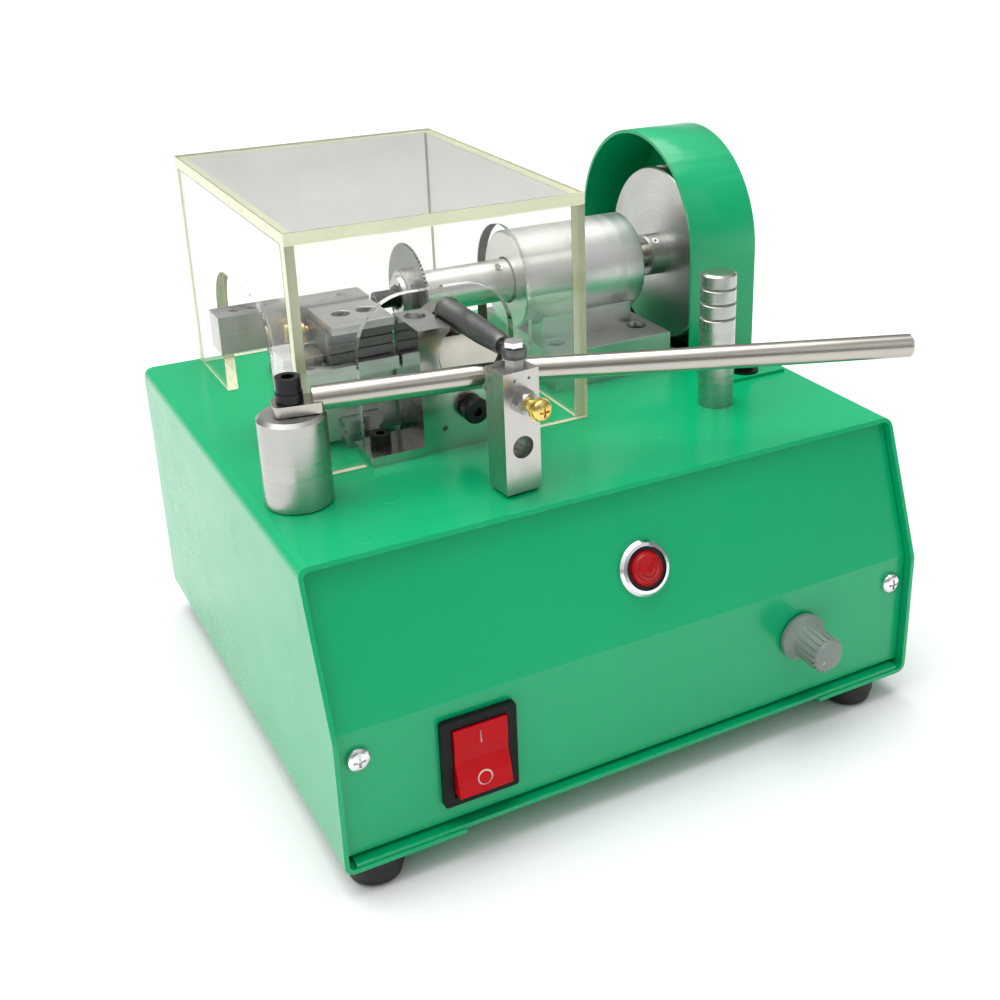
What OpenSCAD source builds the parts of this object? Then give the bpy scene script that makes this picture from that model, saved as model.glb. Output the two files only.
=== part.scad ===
// Bench cut-off saw: sheet-metal cabinet, belt-driven spindle with a small blade,
// and a lever-fed slide under a clear lift-off cover. Millimetres, +Z up, front faces -Y.

/* [Cabinet] */
// Outside width of the cabinet
cab_w = 220; // [200:1:270]
// Depth of the cabinet top, front bend to back edge
cab_d = 188.5; // [188:0.5:230]
// Height of the cabinet without the feet
cab_h = 97; // [92:1:120]
// How far the front stands forward below its bend
kink_out = 18.3; // [12:0.1:22]
// Height of the slanted upper part of the front
kink_drop = 49; // [40:1:56]
// Thickness of the sheet metal
sheet = 1.5; // [1.2:0.1:2]
// Radius of the bends along the cabinet
bend_r = 3.5; // [2.5:0.5:5]
// How far the front and rear panels sit inside the cover
recess = 3.5; // [2:0.5:5]
// Width of the cover's bottom lips
lip_w = 40; // [30:1:50]
// Height of the rubber feet below the cabinet
foot_h = 9.5; // [7:0.5:14]
// Diameter of the rubber feet
foot_d = 19; // [15:0.5:22]

/* [Controls] */
// Width of the switch frame
switch_w = 25.5; // [24:0.5:27]
// Height of the switch frame
switch_h = 31; // [29:0.5:33]
// Outside diameter of the lamp bezel
lamp_d = 18.7; // [16:0.1:22]
// Diameter of the knob's skirt
knob_d = 17.5; // [15:0.5:20]
// Length of the knob
knob_l = 17; // [12:0.5:20]

/* [Spindle] */
// Height of the spindle above the cabinet top
spin_z = 36.3; // [36:0.1:44]
// Distance of the spindle behind the front bend
spin_y = 115.8; // [114:0.1:118]
// Diameter of the spindle housing
housing_d = 37.7; // [34:0.1:41]
// Length of the spindle housing
housing_l = 52.3; // [48:0.1:53]
// Diameter of the spindle shaft
shaft_d = 10; // [8:1:12]
// Outside diameter of the sleeve behind the blade
sleeve_d = 16.5; // [14:0.5:17.5]
// Diameter of the saw blade
blade_d = 39.2; // [32:0.1:41]
// Thickness of the saw blade
blade_t = 1; // [0.8:0.1:1.6]
// Number of saw teeth
blade_teeth = 72; // [48:4:96]
// Diameter of the disc pulley
disc_d = 69.4; // [60:0.1:71]
// Thickness of the disc pulley
disc_t = 9; // [8:0.5:10]

/* [Belt guard] */
// Width of the belt guard
guard_w = 29.5; // [27:0.5:31]
// Radius of the guard's arch
guard_r = 42.3; // [41:0.1:46]
// Height of the arch centre above the cabinet top
guard_cz = 43.4; // [40:0.1:48]

/* [Lever and slide] */
// Diameter of the lever post
post_d = 21.4; // [20:0.1:26]
// Height of the lever post
post_h = 30; // [29:0.1:30.3]
// Diameter of the lever rod
rod_d = 8; // [7:0.1:8.6]
// Angle of the lever's inner part at rest
rod_a = -9.45; // [-11:0.01:-8]
// Angle of the lever's handle at rest
grip_a = -20.8; // [-24:0.1:-18]
// Length of the handle past the bend
grip_l = 129.6; // [100:0.1:132]
// Diameter of the grip post
grip_d = 13; // [11:0.5:15]
// Height of the grip post
grip_h = 50; // [40:0.5:60]
// Diameter of the feed ram
ram_d = 24; // [20:0.5:24.6]
// Running clearance round the ram, on the radius
ram_gap = 0.06; // [0.03:0.01:0.1]

/* [Acrylic cover] */
// Width of the cover
cover_w = 104; // [102:0.5:106]
// Depth of the cover
cover_d = 132; // [120:0.5:133]
// Height of the cover
cover_h = 82; // [78:0.5:100]
// Thickness of the acrylic sheet
cover_t = 4; // [3:0.5:5]

/* [Hidden] */
$fn = 64;
eps = 0.02;

// colours
paint = [0.02, 0.62, 0.42];
alloy = [0.74, 0.75, 0.72];
steel = [0.70, 0.70, 0.68];
black = [0.07, 0.07, 0.075];
zinc = [0.80, 0.66, 0.20];
clear = [0.86, 0.90, 0.74, 0.35];

// datum: left end of the cabinet, front bend of the top, top surface
top_z = cab_h + foot_h;
y_front = recess - kink_out - knob_l;
fuse_out = 9;
y_rear = cab_d - recess + fuse_out;
y_mid = (y_front + y_rear) / 2;

// spindle stations along X
blade_x = 84.4;
flange_t = 4.4;
bolt_l = 9;
housing_x = 123.7;
housing_end = housing_x + housing_l;
lip_t = 4;
bearing_d = 26;
bearing_t = 8;
disc_x = 192.5;
groove_w = 4.6;
groove_x = disc_x + disc_t / 2;
belt_w = 4;
belt_t = 3.5;
belt_r = disc_d / 2 - 4.7;
hub_d = 16.5;
base_top = 14.5;
base_x = [130, 179];
base_y = [spin_y - 32.5, spin_y + 32.5];
base_hole_x = [137, 172];
base_hole_y = [spin_y - 18.5, spin_y + 18.5];

// motor
motor_z = -48;
motor_d = 56;
motor_x = [98, 183];
motor_shaft_d = 8;
pulley_r = 13;
small_belt_r = 9.2;

// belt guard
guard_x = 185;
guard_y = 120.5;
guard_t = 1.3;
guard_foot = 22;
guard_bolt_x = 199.7;
guard_bolt_y = [guard_y - guard_r - 15.7, guard_y + guard_r + 15.7];

// lever
post = [15.4, 42.4];
rod_z = 33.5;
bend = post + 76.13 * [cos(rod_a), sin(rod_a)];
eye_t = 3.4;
eye_w = 9.4;
eye_l = 15.4;
eye_low = post_h + 0.3;
eye_top = eye_low + eye_t;
neck = 6.6;
pivot_d = 5;
shoulder_d = 6;
block = [77.6, 15.7];
block_a = 5.5;
block_w = 12.8;
block_l = 10.7;
block_z = [1, 41.6];
hole_z = 16.3;
screw_z = rod_z - 1.2;
m4 = 4;
grip = [173.4, 43.5];
link_z = 45;
pin = [80, 18.5];
link_far = [79.2, 63.5];
pin_d = 4;
eye_gap = 0.45;

// feed slide
ram = [81.7, 33];
ram_y = [56.5, 80];
ram_flat = 39.5;
ram_flat_y = 72;
rb_x = [63, 97];
rb_y = [54.2, 76.5];
rb_wall = 74.3;
rb_h = [44, 31.5];
block_screw_at = [[50.5, 62.5], [68.4, 70]];
rail_x = 49;
rail_w = 14;
rail_h = 10;
rail_y = [74, 160];
car_x = [34, 64.6];
car_y = [78.5, 128];
car_z = [2, 26];
fit = 0.15;
cross_z = [26, 30.5];
cross_x = [28, 62.4];
cross_y = [71.5, 97];
sb_x = [38.5, 62.4];
sb_y = [75, 98];
sb_z = [30.9, 41.3];
dove_y = 85;
tp_x = [40, 62.4];
tp_y = [73, 98];
tp_z = [41.3, 44];
tp_hole_x = [47.9, 56.7];
tp_hole_y = 86.7;
bar_x = [10, 62.4];
bar_y = [98, 109.5];
bar_z = [32, 45];
lock_y = 94;
lock_z = 37.2;

// acrylic cover
cover_x = 22;
cover_y = 55;

// points of a rounded rectangle centred on the origin
function arc_pts(cx, cy, r, a0, n = 6) =
    [for (i = [0:n]) [cx + r * cos(a0 + 90 * i / n), cy + r * sin(a0 + 90 * i / n)]];
function round_rect(w, h, r, n = 6) = concat(
    arc_pts(w / 2 - r, h / 2 - r, r, 0, n), arc_pts(r - w / 2, h / 2 - r, r, 90, n),
    arc_pts(r - w / 2, r - h / 2, r, 180, n), arc_pts(w / 2 - r, r - h / 2, r, 270, n));
// opening with a straight foot and rounded top corners
function arch_pts(w, h, r, n = 8) = concat([[-w / 2, -10], [w / 2, -10]],
    arc_pts(w / 2 - r, h - r, r, 0, n), arc_pts(r - w / 2, h - r, r, 90, n));

module datum() {
    translate([-cab_w / 2, -y_mid, top_z]) children();
}
module from_x(x) {
    translate([x, 0, 0]) rotate([90, 0, 90]) children();
}
module from_y(y) {
    translate([0, y, 0]) rotate([90, 0, 0]) mirror([0, 0, 1]) children();
}
module cyl_x(x0, x1, y, z, d) {
    translate([x0, y, z]) rotate([0, 90, 0]) cylinder(h = x1 - x0, d = d);
}
module cyl_y(x, y0, y1, z, d) {
    translate([x, y0, z]) rotate([-90, 0, 0]) cylinder(h = y1 - y0, d = d);
}
module cyl_z(x, y, z0, z1, d) {
    translate([x, y, z0]) cylinder(h = z1 - z0, d = d);
}
module box(x, y, z) {
    translate([x[0], y[0], z[0]]) cube([x[1] - x[0], y[1] - y[0], z[1] - z[0]]);
}

// fasteners, heads up (+Z), head seated on z = 0
module cap_screw(d, head_d, head_h, len, key) {
    difference() {
        union() {
            cylinder(h = head_h, d = head_d);
            translate([0, 0, -len]) cylinder(h = len + eps, d = d);
        }
        translate([0, 0, head_h * 0.4]) cylinder(h = head_h, d = key * 1.1547, $fn = 6);
    }
}
module pan_screw(d, head_d, head_h, len) {
    difference() {
        union() {
            rotate_extrude() polygon(concat([[0, 0], [head_d / 2, 0], [head_d / 2, head_h * 0.35]],
                [for (a = [15:15:75]) [head_d / 2 * cos(a), head_h * (0.35 + 0.65 * sin(a))]],
                [[0, head_h]]));
            translate([0, 0, -len]) cylinder(h = len + eps, d = d);
        }
        for (a = [0, 90]) {
            rotate([0, 0, a]) translate([-head_d * 0.26, -head_d * 0.055, head_h * 0.45])
                cube([head_d * 0.52, head_d * 0.11, head_h]);
        }
    }
}
module hex_nut(af, bore, h) {
    difference() {
        cylinder(h = h, d = af * 1.1547, $fn = 6);
        translate([0, 0, -1]) cylinder(h = h + 2, d = bore);
    }
}
// socket screw through the cabinet top with its nut below, head seated at z = 0
module through_bolt(seat, head_h) {
    cap_screw(m4, 7, head_h, seat + sheet + nut_h + 0.8, 3);
    translate([0, 0, -seat - sheet - nut_h]) hex_nut(7, m4, nut_h);
}
module washer(od, id, t) {
    difference() {
        cylinder(h = t, d = od);
        translate([0, 0, -1]) cylinder(h = t + 2, d = id);
    }
}

// side outline of the cabinet, in (y, z)
module side_outline() {
    polygon([[0, 0], [-kink_out, -kink_drop], [-kink_out, -cab_h], [cab_d, -cab_h], [cab_d, 0]]);
}
// places children on the lower front, z outwards
module on_front(x, z) {
    translate([x, recess - kink_out, z]) rotate([90, 0, 0]) children();
}
// places children on the slanted front, z outwards
slope = atan(kink_out / kink_drop);
module on_slope(x, z) {
    translate([x, recess + kink_out * z / kink_drop, z]) rotate([90 - slope, 0, 0]) children();
}
module on_rear(x, z) {
    translate([x, cab_d - recess, z]) rotate([-90, 0, 0]) children();
}

switch_x = 46.5;
switch_z = -70.7;
lamp_x = 111.6;
lamp_z = -27.8;
knob_x = 171.8;
knob_z = -68;
front_screw_x = [8, cab_w - 8];
front_screw_z = -58.5;
rear_screw_x = [8, cab_w - 8];
rear_screw_z = [-16, -80];
tab_w = 13;
foot_x = [12.5, cab_w - 19.5];
foot_y = [-8.8, cab_d - 11];
inlet_x = 176;
inlet_z = -62;
fuse_x = 136;
fuse_z = -62;
board_x = [18, 84];
board_y = [60, 150];
board_z = -84;
floor_z = sheet - cab_h;
plate_z = floor_z + sheet;

// top, sides and bottom lips, bent from one sheet
module shell() {
    intersection() {
        from_y(-kink_out) linear_extrude(cab_d + kink_out) translate([cab_w / 2, -cab_h / 2]) difference() {
            polygon(round_rect(cab_w, cab_h, bend_r));
            polygon(round_rect(cab_w - 2 * sheet, cab_h - 2 * sheet, bend_r - sheet));
            translate([lip_w - cab_w / 2, -cab_h]) square([cab_w - 2 * lip_w, cab_h * 0.6]);
        }
        from_x(0) linear_extrude(cab_w) side_outline();
    }
}

// small folded tabs behind the panels, which the panel screws go into
module panel_tabs() {
    for (i = [0, 1]) {
        x = i * (cab_w - sheet - tab_w);
        box([x + sheet / 2, x + sheet / 2 + tab_w], [recess - kink_out + sheet + 0.05,
            recess - kink_out + 2 * sheet], [front_screw_z - 6, front_screw_z + 6]);
        for (z = rear_screw_z) box([x + sheet / 2, x + sheet / 2 + tab_w],
            [cab_d - recess - 2 * sheet, cab_d - recess - sheet - 0.05], [z - 6, z + 6]);
    }
}

module cabinet_cover() {
    color(paint) datum() difference() {
        union() {
            shell();
            panel_tabs();
        }

        for (p = [post, grip]) cyl_z(p[0], p[1], -5, 5, 5.4);
        for (x = base_hole_x, y = base_hole_y) cyl_z(x, y, -5, 5, 4.4);
        for (y = guard_bolt_y) cyl_z(guard_bolt_x, y, -5, 5, 4.4);
        for (y = [rail_y[0] + 20, rail_y[1] - 20]) cyl_z(rail_x, y, -5, 5, 4.4);
        for (p = block_screw_at) cyl_z(p[0], p[1], -5, 5, 4.4);
        box([disc_x - 0.5, disc_x + disc_t + 0.5], [spin_y - 29, spin_y + 29], [-5, 5]);
        for (x = foot_x, y = foot_y) cyl_z(x, y, -cab_h - 5, 5 - cab_h, 4.4);
        for (x = front_screw_x) on_front(x, front_screw_z) translate([0, 0, -10]) cylinder(h = 20, d = m4);
        for (x = rear_screw_x, z = rear_screw_z)
            on_rear(x, z) translate([0, 0, -10]) cylinder(h = 20, d = m4);
    }
}

module front_panel() {
    t = sheet;
    color(paint) datum() difference() {
        from_x(sheet + 0.3) linear_extrude(cab_w - 2 * sheet - 0.6) difference() {
            polygon([[recess + kink_out * (sheet + 0.1) / -kink_drop, -sheet - 0.1],
                [recess - kink_out, -kink_drop], [recess - kink_out, plate_z + 1.4],
                [recess - kink_out + 14, plate_z + 1.4], [recess + 14, -sheet - 0.1]]);
            polygon([[recess + t + 0.1, -sheet + 5], [recess + t + 0.1 - kink_out * (sheet + 0.1) / kink_drop,
                -sheet - 0.1], [recess - kink_out + t, -kink_drop],
                [recess - kink_out + t, plate_z + 1.4 + t], [recess - kink_out + 40, plate_z + 1.4 + t],
                [recess + 40, -sheet + 5]]);
        }
        on_front(switch_x, switch_z) translate([-11.2, -14.2, -10]) cube([22.4, 28.4, 20]);
        on_front(knob_x, knob_z) translate([0, 0, -10]) cylinder(h = 20, d = 7.4);
        on_slope(lamp_x, lamp_z) translate([0, 0, -10]) cylinder(h = 20, d = 12.4);
        for (x = front_screw_x) on_front(x, front_screw_z) translate([0, 0, -10]) cylinder(h = 20, d = 4.4);
    }
}

module rear_panel() {
    color(paint) datum() difference() {
        box([sheet + 0.3, cab_w - sheet - 0.3], [cab_d - recess - sheet, cab_d - recess],
            [plate_z + 0.2, -sheet - 0.1]);
        on_rear(inlet_x, inlet_z) translate([-13.8, -10.2, -10]) cube([27.6, 20.4, 20]);
        on_rear(fuse_x, fuse_z) translate([0, 0, -10]) cylinder(h = 20, d = 12.4);
        for (x = rear_screw_x, z = rear_screw_z)
            on_rear(x, z) translate([0, 0, -10]) cylinder(h = 20, d = 4.4);
        for (i = [0:7]) on_rear(30 + 9 * i, -44) translate([-1.5, -12, -10]) cube([3, 30, 20]);
    }
}

module base_plate() {
    color(paint) datum() difference() {
        box([bend_r + 0.4, cab_w - bend_r - 0.4], [0.6 - kink_out, cab_d - 0.6], [floor_z, plate_z]);
        for (x = foot_x, y = foot_y) cyl_z(x, y, -cab_h - 5, 5 - cab_h, 4.4);
        for (x = [motor_x[1] - 40, motor_x[1] - 12], y = [spin_y - 20, spin_y + 20])
            cyl_z(x, y, -cab_h - 5, 5 - cab_h, 4.4);
    }
}

module rubber_feet() {
    color(black) datum() for (x = foot_x, y = foot_y) translate([x, y, -cab_h]) difference() {
        rotate_extrude() polygon([[0, 0], [foot_d / 2, 0], [foot_d / 2, -foot_h * 0.45],
            [foot_d / 2 - 1.1, 1.2 - foot_h], [foot_d / 2 - 2.6, -foot_h], [0, -foot_h]]);
        translate([0, 0, -foot_h - 1]) cylinder(h = foot_h - 2, d = 9);
        translate([0, 0, -foot_h - 1]) cylinder(h = foot_h + 2, d = 4.4);
    }
}

module foot_screws() {
    color(steel) datum() for (x = foot_x, y = foot_y)
        translate([x, y, -cab_h - 3]) mirror([0, 0, 1]) pan_screw(m4, 7.6, 2.6, 6.8);
}

module panel_screws() {
    color(steel) datum() {
        for (x = front_screw_x) on_front(x, front_screw_z) pan_screw(m4, 7.8, 2.6, 9);
        for (x = rear_screw_x, z = rear_screw_z) on_rear(x, z) pan_screw(m4, 7.8, 2.6, 9);
    }
}

rocker_pivot = -1.5;
rocker_pin_d = 3;
module switch_frame() {
    color(black) datum() on_front(switch_x, switch_z) difference() {
        union() {
            linear_extrude(2.4) polygon(round_rect(switch_w, switch_h, 1.2));
            translate([-10.8, -13.8, -20]) cube([21.6, 27.6, 20 + eps]);
            for (y = [-7, 0, 7]) translate([-3.2, y - 0.4, -29]) cube([6.4, 0.8, 9.5]);
        }
        translate([-9.4, -12.6, -7]) cube([18.8, 25.2, 12]);
        cyl_x(-10.2, 10.2, 0, rocker_pivot, rocker_pin_d + 0.1);
    }
}

module switch_rocker() {
    color([0.75, 0.03, 0.04]) datum() on_front(switch_x, switch_z)
        translate([-9, 0, rocker_pivot]) rotate([-7, 0, 0]) difference() {
            union() {
                rotate([90, 0, 90]) linear_extrude(18)
                    polygon([[-11.6, -2], [-11.6, 6.2], [-6, 5.9], [0, 4.7], [6, 5.9], [11.6, 6.2],
                        [11.6, -2], [2, -3.6], [-2, -3.6]]);
                cyl_x(-0.9, 18.9, 0, 0, rocker_pin_d);
            }
            translate([9, -7, 5.65]) difference() {
                cylinder(h = 3, d = 5.2);
                cylinder(h = 3, d = 4.2);
            }
            translate([8.7, 5, 5.35]) cube([0.6, 4.4, 3]);
        }
}

module lamp_bezel() {
    color([0.85, 0.85, 0.87]) datum() on_slope(lamp_x, lamp_z) difference() {
        union() {
            rotate_extrude() polygon([[0, 0], [lamp_d / 2, 0], [lamp_d / 2, 1.3], [lamp_d / 2 - 0.9, 2.3],
                [lamp_d / 2 - 2.1, 2.6], [0, 2.6]]);
            translate([0, 0, -18]) cylinder(h = 18 + eps, d = 12);
            translate([0, 0, -sheet - 3.4]) cylinder(h = 3, d = 17, $fn = 6);
        }
        translate([0, 0, 0.8]) cylinder(h = 5, d = 14.7);
    }
}

module lamp_lens() {
    color([0.85, 0.03, 0.06]) datum() on_slope(lamp_x, lamp_z) rotate_extrude()
        polygon(concat([[0, 0.8], [7.3, 0.8], [7.3, 2.3]],
            [for (a = [15:15:75]) [7.3 * cos(a), 2.3 + 2.2 * sin(a)]], [[0, 4.5]]));
}

module speed_control() {
    color(alloy) datum() on_front(knob_x, knob_z) {
        difference() {
            union() {
                translate([0, 0, -sheet - 9]) cylinder(h = 8.7, d = 16);
                translate([0, 0, -sheet - 1]) cylinder(h = sheet + 3.4, d = 7);
                translate([-8, -13, -sheet - 9]) cube([16, 8, 1.6]);
                for (x = [-5, 0, 5]) translate([x - 0.5, -17, -sheet - 8.6]) cube([1, 5, 0.6]);
            }
            translate([0, 0, -sheet - 6]) cylinder(h = 20, d = 6.1);
        }
        translate([0, 0, 0.1]) hex_nut(10, 7, 1.8);
    }
}

module knob_shaft() {
    color(steel) datum() on_front(knob_x, knob_z) difference() {
        translate([0, 0, -sheet - 5.8]) cylinder(h = knob_l + sheet + 3, d = 6);
        translate([1.6, -5, 3]) cube([6, 10, knob_l]);
    }
}

module speed_knob() {
    color([0.52, 0.57, 0.54]) datum() on_front(knob_x, knob_z) difference() {
        union() {
            rotate_extrude() polygon([[0, 0.6], [knob_d / 2, 0.6], [knob_d / 2, 2.6], [knob_d / 2 - 1.2, 3.6],
                [knob_d / 2 - 2.4, 5.2], [knob_d / 2 - 2.9, knob_l - 1], [knob_d / 2 - 3.6, knob_l],
                [0, knob_l]]);
            for (i = [0:17]) rotate([0, 0, 20 * i]) translate([knob_d / 2 - 3.6, -0.55, 4])
                cube([1.3, 1.1, knob_l - 5.2]);
        }
        translate([0, 0, -1]) cylinder(h = 4, d = 12);
        difference() {
            translate([0, 0, 2]) cylinder(h = knob_l - 4.8, d = 6.1);
            translate([1.7, -5, 3.1]) cube([6, 10, knob_l]);
        }
        rotate([0, 0, 225]) translate([knob_d / 2 - 5.6, 0, knob_l - 0.5]) cylinder(h = 2, d = 1.6);
    }
}

module mains_inlet() {
    color(black) datum() on_rear(inlet_x, inlet_z) {
        difference() {
            union() {
                linear_extrude(2) polygon(round_rect(38, 26, 3));
                translate([-13.5, -9.9, -22]) cube([27, 19.8, 22 + eps]);
            }
            translate([-12, -8.4, -16]) cube([24, 16.8, 20]);
        }
        for (p = [[-7, -1], [0, 3], [7, -1]]) translate([p[0] - 1, p[1] - 2, -17]) cube([2, 4, 14]);
    }
}

module fuse_holder() {
    color(black) datum() on_rear(fuse_x, fuse_z) {
        translate([0, 0, -26]) cylinder(h = 26 + eps, d = 12);
        cylinder(h = 2.4, d = 16);
        translate([0, 0, 2.3]) cylinder(h = fuse_out - 2.3, d = 12.6);
        translate([0, 0, -sheet - 3.6]) hex_nut(16, 12, 3.4);
    }
}

module control_board() {
    color([0.10, 0.35, 0.18]) datum() {
        difference() {
            box(board_x, board_y, [board_z, board_z + 1.6]);
            for (x = [board_x[0] + 5, board_x[1] - 5], y = [board_y[0] + 5, board_y[1] - 5])
                cyl_z(x, y, board_z - 1, board_z + 3, 3.4);
        }
        cyl_z(36, 84, board_z + 1.5, board_z + 27, 18);
        box([50, 74], [74, 78], [board_z + 1.5, board_z + 25]);
        box([30, 58], [112, 138], [board_z + 1.5, board_z + 17]);
        for (i = [0:3]) cyl_z(66 + 3 * (i % 2), 92 + 12 * i, board_z + 1.5, board_z + 10, 6);
    }
}

module board_posts() {
    color(steel) datum() for (x = [board_x[0] + 5, board_x[1] - 5], y = [board_y[0] + 5, board_y[1] - 5]) {
        translate([x, y, plate_z]) cylinder(h = board_z - plate_z, d = 5.5, $fn = 6);
        cyl_z(x, y, board_z - eps, board_z + 4, 3);
    }
}

module motor_body() {
    color([0.22, 0.23, 0.25]) datum() difference() {
        union() {
            cyl_x(motor_x[0] + 8, motor_x[1] - 3, spin_y, motor_z, motor_d);
            cyl_x(motor_x[0], motor_x[0] + 8 + eps, spin_y, motor_z, motor_d - 6);
            cyl_x(motor_x[1] - 3 - eps, motor_x[1], spin_y, motor_z, motor_d - 8);
            cyl_x(motor_x[1] - eps, motor_x[1] + 2.4, spin_y, motor_z, 18);
        }
        cyl_x(motor_x[0] + 12, motor_x[1] + 5, spin_y, motor_z, motor_shaft_d + 0.1);
        for (i = [0:5]) translate([0, spin_y, motor_z]) rotate([60 * i, 0, 0])
            translate([motor_x[0] - 1, -3, 14]) cube([6, 6, 6]);
    }
}

module motor_bracket() {
    color(steel) datum() difference() {
        union() {
            box([motor_x[1], motor_x[1] + 3], [spin_y - 32, spin_y + 32], [plate_z, motor_z + 26]);
            box([motor_x[1] - 52, motor_x[1] + eps], [spin_y - 32, spin_y + 32], [plate_z, plate_z + 3]);
        }
        cyl_x(motor_x[1] - 1, motor_x[1] + 5, spin_y, motor_z, 18.6);
        for (y = [-17, 17]) cyl_x(motor_x[1] - 1, motor_x[1] + 5, spin_y + y, motor_z, 4.4);
        for (x = [motor_x[1] - 40, motor_x[1] - 12], y = [spin_y - 20, spin_y + 20])
            cyl_z(x, y, plate_z - 1, plate_z + 5, 4.4);
    }
}

module motor_bolts() {
    color(steel) datum() {
        for (y = [-17, 17]) translate([motor_x[1] + 3, spin_y + y, motor_z]) rotate([0, 90, 0])
            cap_screw(m4, 7, 3.8, 2.9, 3);
        for (x = [motor_x[1] - 40, motor_x[1] - 12], y = [spin_y - 20, spin_y + 20])
            translate([x, y, plate_z + 3]) pan_screw(m4, 7.6, 2.6, 6);
    }
}

module motor_shaft() {
    color(steel) datum() cyl_x(motor_x[0] + 14, groove_x + 6, spin_y, motor_z, motor_shaft_d);
}

// grooved wheel along X, centred on its groove
module grooved(r_rim, r_groove, half, bore) {
    rotate([0, 90, 0]) rotate_extrude() polygon([[bore / 2, -half], [r_rim - 0.5, -half], [r_rim, 0.5 - half],
        [r_rim, -groove_w / 2], [r_groove, -groove_w / 2], [r_groove, groove_w / 2],
        [r_rim, groove_w / 2], [r_rim, half - 0.5], [r_rim - 0.5, half], [bore / 2, half]]);
}

module motor_pulley() {
    color(alloy) datum() translate([groove_x, spin_y, motor_z])
        grooved(pulley_r, small_belt_r - 0.3, 4.2, motor_shaft_d);
}

module belt_loop(grow) {
    hull() {
        translate([spin_y, spin_z]) circle(r = belt_r + grow, $fn = 48);
        translate([spin_y, motor_z]) circle(r = small_belt_r + grow, $fn = 48);
    }
}
module drive_belt() {
    color([0.10, 0.10, 0.10]) datum() from_x(groove_x - belt_w / 2) linear_extrude(belt_w) difference() {
        belt_loop(belt_t);
        belt_loop(0);
    }
}

module spindle_base() {
    color(alloy) datum() difference() {
        union() {
            box(base_x, base_y, [0, base_top]);
            box([housing_x + 11, housing_end - 4], [spin_y - 14, spin_y + 14],
                [base_top - eps, spin_z - housing_d / 2 + 6]);
        }
        cyl_x(housing_x, housing_end + 20, spin_y, spin_z, housing_d);
        for (x = base_hole_x, y = base_hole_y) {
            cyl_z(x, y, -1, base_top + 1, 4.4);
            cyl_z(x, y, base_top - 5.5, base_top + 1, 7.6);
        }
    }
}

module base_bolts() {
    color(black) datum() for (x = base_hole_x, y = base_hole_y)
        translate([x, y, base_top - 5.5]) through_bolt(base_top - 5.5, 4);
}

module spindle_housing() {
    color(alloy) datum() difference() {
        union() {
            translate([housing_x, spin_y, spin_z]) rotate([0, 90, 0]) rotate_extrude()
                polygon([[0, 0], [housing_d / 2 - 0.8, 0], [housing_d / 2, 0.8],
                    [housing_d / 2, housing_l - 0.8], [housing_d / 2 - 0.8, housing_l], [0, housing_l]]);
        }
        cyl_x(housing_x - 1, housing_end + 1, spin_y, spin_z, sleeve_d + 1.4);
        cyl_x(housing_x + lip_t, housing_end + 1, spin_y, spin_z, bearing_d);
    }
}

module bearings() {
    color(steel) datum() for (x = [housing_x + lip_t, housing_end - 2 - bearing_t])
        translate([x, spin_y, spin_z]) rotate([0, 90, 0]) rotate_extrude()
            polygon([[shaft_d / 2, 0], [shaft_d / 2 + 2.4, 0], [shaft_d / 2 + 2.4, 0.8],
                [bearing_d / 2 - 2.4, 0.8], [bearing_d / 2 - 2.4, 0], [bearing_d / 2, 0],
                [bearing_d / 2, bearing_t], [bearing_d / 2 - 2.4, bearing_t],
                [bearing_d / 2 - 2.4, bearing_t - 0.8], [shaft_d / 2 + 2.4, bearing_t - 0.8],
                [shaft_d / 2 + 2.4, bearing_t], [shaft_d / 2, bearing_t]]);
}

module spindle_shaft() {
    color(steel) datum() difference() {
        cyl_x(blade_x - flange_t, disc_x + disc_t, spin_y, spin_z, shaft_d - 0.06);
        cyl_x(blade_x - flange_t - 1, blade_x + 12, spin_y, spin_z, m4);
    }
}

module arbor_sleeve() {
    color(alloy) datum() difference() {
        cyl_x(blade_x + blade_t / 2, housing_x + lip_t - 0.6, spin_y, spin_z, sleeve_d);
        cyl_x(blade_x, housing_x + lip_t, spin_y, spin_z, shaft_d);
        translate([housing_x - 5, spin_y, spin_z]) rotate([35, 0, 0]) cylinder(h = 20, d = 3);
    }
}

module set_screws() {
    color(steel) datum() {
        translate([housing_x - 5, spin_y, spin_z]) rotate([35, 0, 0]) difference() {
            translate([0, 0, shaft_d / 2 + 0.1]) cylinder(h = sleeve_d / 2 - shaft_d / 2 + 0.5, d = 2.8);
            translate([0, 0, sleeve_d / 2 - 0.6]) cylinder(h = 3, d = 1.7, $fn = 6);
        }
        translate([disc_x - 3.4, spin_y, spin_z]) rotate([35, 0, 0]) difference() {
            translate([0, 0, shaft_d / 2 + 0.1]) cylinder(h = hub_d / 2 - shaft_d / 2, d = 2.8);
            translate([0, 0, hub_d / 2 - 1]) cylinder(h = 3, d = 1.7, $fn = 6);
        }
    }
}

module saw_blade() {
    color([0.55, 0.57, 0.56]) datum() from_x(blade_x - blade_t / 2) translate([spin_y, spin_z])
        linear_extrude(blade_t) difference() {
            polygon([for (i = [0:blade_teeth - 1], k = [0, 1])
                let (a = 360 / blade_teeth * (i + 0.12 * k), r = blade_d / 2 - 0.55 * k)
                    [r * cos(a), r * sin(a)]]);
            circle(d = shaft_d);
        }
}

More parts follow.
